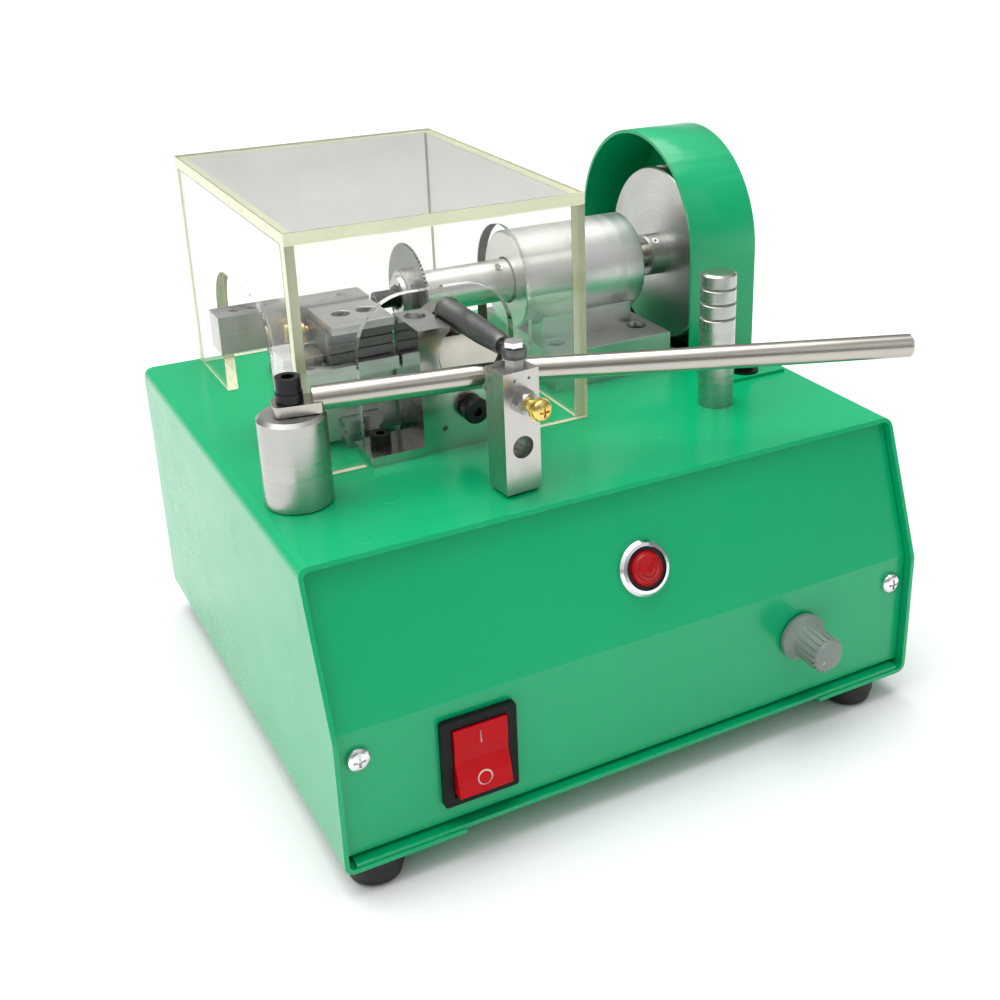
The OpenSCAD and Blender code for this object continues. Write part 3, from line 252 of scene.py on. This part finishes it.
def redLens(name):
    material, tree, shader = startMaterial(name, Roughness=0.06, IOR=1.5, Specular_IOR_Level=0.2)
    shader.inputs["Transmission Weight"].default_value = 0.35
    shader.inputs["Coat Weight"].default_value = 0.05
    place = objectPlace(tree)
    base = blendColour(tree, spread(tree, noise(tree, place, 300, 2), 0.35, 0.7), (0.75, 0.005, 0.012),
                       (0.45, 0.002, 0.006))
    tree.links.new(base, shader.inputs["Base Color"])
    tree.links.new(bump(tree, noise(tree, place, 700, 1), 0.08, 0.0002), shader.inputs["Normal"])
    return material


lensRed = redLens("red lamp lens")

acrylicLook = {"tint": (0.915, 0.925, 0.895), "edge": (0.84, 0.86, 0.62), "roughness": 0.012}


def acrylicFace(name, look, alpha=1.0):
    material, tree, shader = startMaterial(name, IOR=1.49, Alpha=alpha)
    shader.inputs["Transmission Weight"].default_value = 1.0
    place = objectPlace(tree)
    smear = noise(tree, place, 30, 4)
    tree.links.new(spread(tree, smear, 0.45, 0.8, look["roughness"], look["roughness"] + 0.05),
                   shader.inputs["Roughness"])
    base = blendColour(tree, spread(tree, smear, 0.4, 0.8, 0, 0.3), look["tint"], scaled(look["tint"], 0.97))
    tree.links.new(base, shader.inputs["Base Color"])
    clear = addNode(tree, "BsdfTransparent", {"Color": (*look["tint"], 1)}).outputs[0]
    # light passes straight through, so the sheet throws only a faint shadow
    shadow = addNode(tree, "LightPath").outputs["Is Shadow Ray"]
    mixed = addNode(tree, "MixShader", {0: shadow, 1: shader.outputs[0], 2: clear}).outputs[0]
    tree.links.new(mixed, tree.nodes["Material Output"].inputs["Surface"])
    return material


def acrylicEdge(name, look):
    material, tree, shader = startMaterial(name, IOR=1.49)
    shader.inputs["Transmission Weight"].default_value = 0.0
    place = objectPlace(tree)
    saw = noise(tree, place, 500, 2)
    cloud = spread(tree, noise(tree, place, 70, 3), 0.35, 0.7)
    base = blendColour(tree, cloud, look["edge"], scaled(look["edge"], 0.93))
    tree.links.new(base, shader.inputs["Base Color"])
    tree.links.new(spread(tree, saw, 0.3, 0.7, 0.25, 0.4), shader.inputs["Roughness"])
    tree.links.new(bump(tree, saw, 0.03, 0.0001), shader.inputs["Normal"])
    return material


clearAcrylic = acrylicFace("clear acrylic", acrylicLook)
edgeAcrylic = acrylicEdge("acrylic edge", acrylicLook)
archAcrylic = acrylicFace("polished arch edge", acrylicLook, 0.15)

looks = {
    "cabinet_cover": enamel, "front_panel": enamel, "rear_panel": enamel, "base_plate": enamel,
    "belt_guard": enamel, "rubber_feet": blackRubber, "drive_belt": blackRubber,
    "foot_screws": chromePlate, "panel_screws": chromePlate, "switch_frame": blackPlastic,
    "switch_rocker": redPlastic, "lamp_bezel": chromePlate, "lamp_lens": lensRed, "speed_control": greySteel,
    "knob_shaft": greySteel, "speed_knob": greyPlastic, "mains_inlet": blackPlastic,
    "fuse_holder": blackPlastic, "control_board": boardGreen, "board_posts": greySteel,
    "motor_body": darkSteel, "motor_bracket": greySteel, "motor_bolts": greySteel, "motor_shaft": greySteel,
    "motor_pulley": turnedAlloy, "spindle_base": milledAlloy, "base_bolts": blackOxide,
    "spindle_housing": shellAlloy, "bearings": greySteel, "spindle_shaft": polishedSteel,
    "arbor_sleeve": shellAlloy, "set_screws": chromePlate, "saw_blade": bladeSteel,
    "blade_flange": turnedAlloy, "blade_bolt": blackOxide, "disc_pulley": turnedAlloy,
    "guard_bolts": blackOxide, "lever_post": postAlloy,
    "grip_post": postAlloy, "post_bolts": greySteel, "pivot_screw": blackOxide, "lever_rod": polishedSteel,
    "rod_block": blockAlloy, "adjusting_screw": yellowZinc, "lock_nuts": greySteel, "link_pin": chromePlate,
    "push_link": darkSteel, "slide_rail": greySteel, "carriage": milledAlloy, "feed_ram": polishedSteel,
    "ram_block": mirrorAlloy, "block_screws": blackOxide, "ram_lock": blackOxide, "cross_rail": milledAlloy,
    "slide_block": darkSteel, "top_plate": milledAlloy, "plate_screws": blackOxide, "slide_lock": turnedBrass,
    "stop_bar": milledAlloy,
}


def dressNode(name, material):
    mesh = nodes[name].data
    mesh.materials.clear()
    mesh.materials.append(material)


for name, material in looks.items():
    dressNode(name, material)
print("materials given to", len(looks), "parts")


def makePiece(name, bm, body, materials, smooth=None):
    mesh = bpy.data.meshes.new(name)
    bm.normal_update()
    bm.to_mesh(mesh)
    bm.free()
    for material in materials:
        mesh.materials.append(material)
    piece = bpy.data.objects.new(name, mesh)
    bpy.context.scene.collection.objects.link(piece)
    if smooth is not None:
        mesh.shade_smooth()
        mesh.set_sharp_from_angle(angle=math.radians(smooth))
    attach(piece, body)
    return piece


def roundOff(piece, width, segments=2, angle=35):
    modifier = piece.modifiers.new("rounded edges", "BEVEL")
    modifier.width = width
    modifier.segments = segments
    modifier.limit_method = "ANGLE"
    modifier.angle_limit = math.radians(angle)
    modifier.harden_normals = True
    return piece


coverSizes = {
    "sheet": 4 * mm,
    "frontArch": {"middle": 48 * mm, "width": 55 * mm, "height": 57 * mm, "corner": 18 * mm},
    "leftArch": {"middle": 60 * mm, "width": 64 * mm, "height": 50 * mm, "corner": 16 * mm},
    "rightArch": {"middle": 60.8 * mm, "width": 42.7 * mm, "height": 57.65 * mm, "corner": 20.85 * mm},
    "edgeRound": 0.25 * mm,
    "glueLine": 0.03 * mm,
}

# points on each round corner of an arch, and where the arch ends in the outline
archSteps = 10
archPoints = 2 * archSteps + 4


def wallOutline(width, height, arch=None):
    # a wall's corners seen flat, with an arched way in from the bottom edge
    points = [(0, 0)]
    if arch:
        left = arch["middle"] - arch["width"] / 2
        right = arch["middle"] + arch["width"] / 2
        r = arch["corner"]
        points.append((left, 0))
        for turn, centre in ((180, (left + r, arch["height"] - r)), (90, (right - r, arch["height"] - r))):
            for i in range(archSteps + 1):
                angle = math.radians(turn - 90 * i / archSteps)
                points.append((centre[0] + r * math.cos(angle), centre[1] + r * math.sin(angle)))
        points.append((right, 0))
    return points + [(width, 0), (width, height), (0, height)]


def makeSheet(name, outline, place, thickness, arched=0):
    # place turns a flat point and a depth into the room's own frame, and the arch's edges are polished clear
    bm = bmesh.new()
    front = [bm.verts.new(place(u, v, 0)) for u, v in outline]
    back = [bm.verts.new(place(u, v, thickness)) for u, v in outline]
    for loop in (front[::-1], back):
        bm.faces.new(loop).material_index = 0
    count = len(outline)
    for i in range(count):
        side = bm.faces.new((front[i], front[(i + 1) % count], back[(i + 1) % count], back[i]))
        side.material_index = 2 if 1 <= i < arched else 1
    bmesh.ops.recalc_face_normals(bm, faces=bm.faces)
    piece = makePiece(name, bm, "cover", [clearAcrylic, edgeAcrylic, archAcrylic])
    return roundOff(piece, coverSizes["edgeRound"], 2, 60)


def makeCover(sizes):
    low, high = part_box("acrylic_cover")
    t = sizes["sheet"]
    width, depth, height = high - low
    joint = sizes["glueLine"]
    wall = height - t - joint
    sheets = [
        makeSheet("coverFront", wallOutline(width, wall, sizes["frontArch"]),
                  lambda u, v, d: (low.x + u, low.y + d, low.z + v), t, archPoints),
        makeSheet("coverRear", wallOutline(width, wall),
                  lambda u, v, d: (low.x + u, high.y - d, low.z + v), t),
        makeSheet("coverTop", wallOutline(width, depth),
                  lambda u, v, d: (low.x + u, low.y + v, high.z - t + d), t),
    ]
    inner = depth - 2 * t - 2 * joint
    sides = (("coverLeft", low.x, sizes["leftArch"]), ("coverRight", high.x - t, sizes["rightArch"]))
    for name, side, arch in sides:
        moved = dict(arch, middle=arch["middle"] - t - joint)
        sheets.append(makeSheet(name, wallOutline(inner, wall, moved),
                                lambda u, v, d, side=side: (side + d, low.y + t + joint + u, low.z + v),
                                t, archPoints))
    for sheet in sheets:
        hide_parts("acrylic_cover")
    print("clear cover made of", len(sheets), "sheets")


makeCover(coverSizes)


# the cabinet's own corner, which places below are measured from: left end, front bend, top surface
cornerPlace = Vector((-110.0, -81.1, 106.5))
# how far the front panel's face stands ahead of that corner
panelFace = -14.8


def at(x, y, z):
    return (Vector((x, y, z)) + cornerPlace) * mm


def frameAlong(origin, outwards, upwards):
    # a turn whose Z points outwards and whose Y points up
    out = Vector(outwards).normalized()
    right = Vector(upwards).cross(out).normalized()
    up = out.cross(right)
    turn = Matrix((right, up, out)).transposed().to_4x4()
    return Matrix.Translation(origin) @ turn


def lathe(bm, profile, turn, segments=48):
    # profile holds (radius, height) pairs in mm
    rings = []
    for radius, height in profile:
        if radius < 1e-6:
            rings.append([bm.verts.new(turn @ Vector((0, 0, height * mm)))])
            continue
        ring = []
        for i in range(segments):
            angle = 2 * math.pi * i / segments
            point = Vector((radius * math.cos(angle) * mm, radius * math.sin(angle) * mm, height * mm))
            ring.append(bm.verts.new(turn @ point))
        rings.append(ring)
    for first, second in zip(rings, rings[1:]):
        for i in range(segments):
            k = (i + 1) % segments
            corners = [first[i % len(first)], first[k % len(first)],
                       second[k % len(second)], second[i % len(second)]]
            corners = list(dict.fromkeys(corners))
            if len(corners) > 2:
                bm.faces.new(corners)
    bmesh.ops.recalc_face_normals(bm, faces=bm.faces)


lensSizes = {
    # all in mm; the shade ring is a black ring that paints the shade in the gap between the lens and its
    # bezel
    "place": (111.6, -6.88, -27.8), "outwards": (0, -0.9368, 0.3498),
    "radius": 5.9, "base": 1.0, "rim": 2.2, "dome": 1.9, "rings": 5, "ridge": 0.3, "stepsPerRing": 6,
    "shadeRingRadius": 7.25, "shadeRingDrop": 0.5, "shadeRingGap": 0.05,
}


def makeLens(sizes):
    # ring ridges on a dome
    place = frameAlong(at(*sizes["place"]), sizes["outwards"], (0, 0, 1))
    base, rim, radius = sizes["base"], sizes["rim"], sizes["radius"]
    profile = [(0, base), (radius, base), (radius, rim)]
    steps = sizes["rings"] * sizes["stepsPerRing"]
    for i in range(1, steps + 1):
        share = i / steps
        wave = sizes["ridge"] * math.sin(share * sizes["rings"] * 2 * math.pi) * (1 - share)
        height = rim + sizes["dome"] * math.sin(share * math.pi / 2) + wave
        profile.append((radius * math.cos(share * math.pi / 2) if i < steps else 0, height))
    bm = bmesh.new()
    lathe(bm, profile, place, 64)
    lens = makePiece("lampLens", bm, "base", [lensRed], 40)
    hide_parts("lamp_lens")
    # a black rubber ring recessed round the lens paints the shade in the gap between lens and bezel
    inner, outer, top = radius + sizes["shadeRingGap"], sizes["shadeRingRadius"], rim - sizes["shadeRingDrop"]
    bm = bmesh.new()
    lathe(bm, [(outer, base), (outer, top), (inner, top), (inner, base), (outer, base)], place, 64)
    shadeRing = makePiece("lampShadeRing", bm, "base", [blackRubber], 40)
    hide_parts("lamp_lens")


rockerSizes = {
    # the rocker's pivot across and up, its depth behind the panel's face, and its lean in degrees
    "across": 46.5, "up": -70.7, "depth": 1.5, "lean": 7,
}


def rockerPlace(rise, reach, sizes):
    # rise is along the rocker's face from its pivot, and reach is out from the pivot
    lean = math.radians(sizes["lean"])
    up = rise * math.cos(lean) + reach * math.sin(lean)
    out = reach * math.cos(lean) - rise * math.sin(lean) - sizes["depth"]
    spot = at(sizes["across"], panelFace - out, sizes["up"] + up)
    return frameAlong(spot, (0, -math.cos(lean), math.sin(lean)), (0, 0, 1))


markSizes = {
    # each place is (rise, reach) on the rocker
    "ringPlace": (-7, 5.66), "ringOut": 2.6, "ringIn": 2.1,
    "barPlace": (7.2, 5.45), "barWide": 0.6, "barLong": 4.4, "thick": 0.12,
}
dotSizes = {
    # the knob's axis across and up, how far the dot stands off it, and the dot's rings out from the panel
    "across": 171.8, "up": -68, "offset": 2.227,
    "profile": [(0, 16.45), (0.74, 16.45), (0.74, 16.62), (0.6, 16.7), (0, 16.72)],
}


def makeMarks(sizes, dot):
    # the on and off marks sit in the rocker's engraving
    outer, inner, thick = sizes["ringOut"], sizes["ringIn"], sizes["thick"]
    bm = bmesh.new()
    lathe(bm, [(inner, 0), (outer, 0), (outer, thick), (inner, thick), (inner, 0)],
          rockerPlace(*sizes["ringPlace"], rockerSizes), 40)
    makePiece("markRing", bm, "rocker", [markWhite], 40)
    bm = bmesh.new()
    size = Matrix.Diagonal((sizes["barWide"] * mm, sizes["barLong"] * mm, thick * mm, 1))
    bmesh.ops.create_cube(bm, size=1, matrix=rockerPlace(*sizes["barPlace"], rockerSizes) @ size)
    makePiece("markBar", bm, "rocker", [markWhite])
    bm = bmesh.new()
    spot = at(dot["across"] - dot["offset"], panelFace, dot["up"] - dot["offset"])
    lathe(bm, dot["profile"], frameAlong(spot, (0, -1, 0), (0, 0, 1)), 20)
    makePiece("knobDot", bm, "knob", [markWhite], 40)


threadSizes = {
    # one turn has so many steps, flank is a share of the pitch, and the ends fade over so many steps
    "core": 1.93, "crest": 2.14, "pitch": 0.7, "steps": 24, "flank": 0.42, "fade": 8,
}


def makeThread(name, sizes, start, along, length):
    # one helical ridge wound round the adjusting screw's plain shank
    place = frameAlong(start, along, (0, 0, 1))
    bm = bmesh.new()
    count = int(length / sizes["pitch"] * sizes["steps"])
    half = sizes["pitch"] * sizes["flank"]
    last = None
    for i in range(count + 1):
        angle = 2 * math.pi * i / sizes["steps"]
        height = sizes["pitch"] * i / sizes["steps"]
        fade = min(1, i / sizes["fade"], (count - i) / sizes["fade"])
        crest = sizes["core"] + (sizes["crest"] - sizes["core"]) * fade
        section = []
        for radius, lift in ((sizes["core"], -half), (crest, 0), (sizes["core"], half)):
            point = Vector((radius * math.cos(angle), radius * math.sin(angle), height + lift)) * mm
            section.append(bm.verts.new(place @ point))
        if last:
            for k in range(3):
                bm.faces.new((last[k], last[(k + 1) % 3], section[(k + 1) % 3], section[k]))
        else:
            bm.faces.new(section[::-1])
        last = section
    bm.faces.new(last)
    bmesh.ops.recalc_face_normals(bm, faces=bm.faces)
    makePiece(name, bm, "lever", [yellowZinc], 60)


screwSizes = {
    # the screw's middle, its turn from straight ahead in degrees, and each bare stretch beyond the block
    "middle": (77.6, 15.7, 32.3), "turn": 5.5, "halfBlock": 5.35, "frontStart": 5.7, "frontLength": 3.8,
    "rearStart": 3.3, "rearLength": 1.4,
}


def makeThreads(sizes):
    turn = math.radians(sizes["turn"])
    ahead = Vector((math.sin(turn), -math.cos(turn), 0))
    middle = at(*sizes["middle"])
    front = middle + ahead * (sizes["halfBlock"] + sizes["frontStart"]) * mm
    makeThread("screwThreadFront", threadSizes, front, ahead, sizes["frontLength"])
    rear = middle - ahead * (sizes["halfBlock"] + sizes["rearStart"]) * mm
    makeThread("screwThreadRear", threadSizes, rear, -ahead, sizes["rearLength"])


makeLens(lensSizes)
makeMarks(markSizes, dotSizes)
makeThreads(screwSizes)
print("lamp lens, marks and threads made")

edgeRounds = {
    # how far each part's edges are rounded, in mm
    "rod_block": 0.25, "ram_block": 0.3, "stop_bar": 0.35, "top_plate": 0.25, "carriage": 0.3,
    "spindle_base": 0.4, "cross_rail": 0.25, "slide_block": 0.25, "belt_guard": 0.2, "switch_frame": 0.4,
    "switch_rocker": 0.3, "speed_knob": 0.2, "lever_rod": 0.2, "push_link": 0.15, "lock_nuts": 0.15,
}


# corners nearer than this are one corner, and edges sharper than this angle are rounded
weldGap = 0.002 * mm
sharpAngle = 38


def softenNode(name, width):
    node = nodes[name]
    weld = node.modifiers.new("joined corners", "WELD")
    weld.merge_threshold = weldGap
    roundOff(node, width * mm, 2, sharpAngle)


for name, width in edgeRounds.items():
    softenNode(name, width)
print("edges rounded on", len(edgeRounds), "parts")


cameraPlace = {
    # metres, then degrees, then the lens in mm and its shift as a share of the frame
    "position": (-0.20242, -0.41959, 0.29501), "azimuth": -30.24, "elevation": 23.14, "roll": -0.26,
    "lens": 48.91, "shift": (-0.1142, -0.073),
}


def makeCamera(place):
    data = bpy.data.cameras.new("camera")
    data.sensor_width = 36
    data.lens = place["lens"]
    data.shift_x, data.shift_y = place["shift"]
    data.clip_start = 0.01
    camera = bpy.data.objects.new("camera", data)
    bpy.context.scene.collection.objects.link(camera)
    turn = Matrix.Rotation(math.radians(place["azimuth"]), 4, "Z") @ \
        Matrix.Rotation(math.radians(90 - place["elevation"]), 4, "X") @ \
        Matrix.Rotation(math.radians(place["roll"]), 4, "Z")
    camera.matrix_world = Matrix.Translation(place["position"]) @ turn
    bpy.context.scene.camera = camera


# half the floor's side in metres, and its paper's two shades
floorLook = {"size": 60.0, "dark": (0.90, 0.90, 0.90), "light": (0.93, 0.93, 0.93), "grain": 400}


def makeFloor(look):
    bm = bmesh.new()
    bmesh.ops.create_grid(bm, x_segments=2, y_segments=2, size=look["size"])
    mesh = bpy.data.meshes.new("floor")
    bm.to_mesh(mesh)
    bm.free()
    material, tree, shader = startMaterial("pale floor", Roughness=0.9, Specular_IOR_Level=0.1)
    paper = noise(tree, objectPlace(tree), look["grain"], 3)
    tree.links.new(ramp(tree, paper, [(0, look["dark"]), (1, look["light"])]), shader.inputs["Base Color"])
    mesh.materials.append(material)
    floor = bpy.data.objects.new("floor", mesh)
    bpy.context.scene.collection.objects.link(floor)


lampSettings = [
    # name, place, size, watts
    ("softboxTop", (-0.10, 0.10, 1.10), 1.2, 4.2),
    ("softboxLeft", (-1.10, -0.25, 0.75), 0.9, 1.5),
    ("softboxFront", (0.45, -1.20, 0.85), 0.9, 1.0),
]
lampTarget = (0, 0, 0.1)


def makeLights(settings):
    for name, place, size, watts in settings:
        data = bpy.data.lights.new(name, "AREA")
        data.shape = "SQUARE"
        data.size = size
        data.energy = watts
        lamp = bpy.data.objects.new(name, data)
        bpy.context.scene.collection.objects.link(lamp)
        lamp.location = place
        aim = Vector(lampTarget) - Vector(place)
        lamp.rotation_mode = "QUATERNION"
        lamp.rotation_quaternion = aim.to_track_quat("-Z", "Y")


skyLight = {"turn": (-16, -8, 0), "strength": 2.1, "spread": 60}


def makeSkyLight(look):
    # one wide, even light that keeps the far floor as bright as the near floor
    data = bpy.data.lights.new("skyLight", "SUN")
    data.energy = look["strength"]
    data.angle = math.radians(look["spread"])
    lamp = bpy.data.objects.new("skyLight", data)
    bpy.context.scene.collection.objects.link(lamp)
    lamp.rotation_euler = [math.radians(angle) for angle in look["turn"]]


worldLook = {
    # pairs of a share of the way from straight down to straight up, and a brightness
    "bands": [(0, 0.90), (0.50, 1.0), (0.53, 1.0), (0.58, 0.46), (0.72, 0.42), (0.86, 1.0)],
    "strength": 0.68,
}


def makeWorld(look):
    world = bpy.data.worlds.new("studio")
    bpy.context.scene.world = world
    world.use_nodes = True
    tree = world.node_tree
    back = tree.nodes["Background"]
    height = addNode(tree, "SeparateXYZ", {0: addNode(tree, "TexCoord").outputs["Generated"]}).outputs["Z"]
    stops = [(place, (value, value, value)) for place, value in look["bands"]]
    tree.links.new(ramp(tree, spread(tree, height, -1, 1), stops), back.inputs["Color"])
    back.inputs["Strength"].default_value = look["strength"]


makeCamera(cameraPlace)
makeFloor(floorLook)
makeLights(lampSettings)
makeSkyLight(skyLight)
makeWorld(worldLook)
bpy.context.scene.view_settings.view_transform = "Standard"
print("stage set")
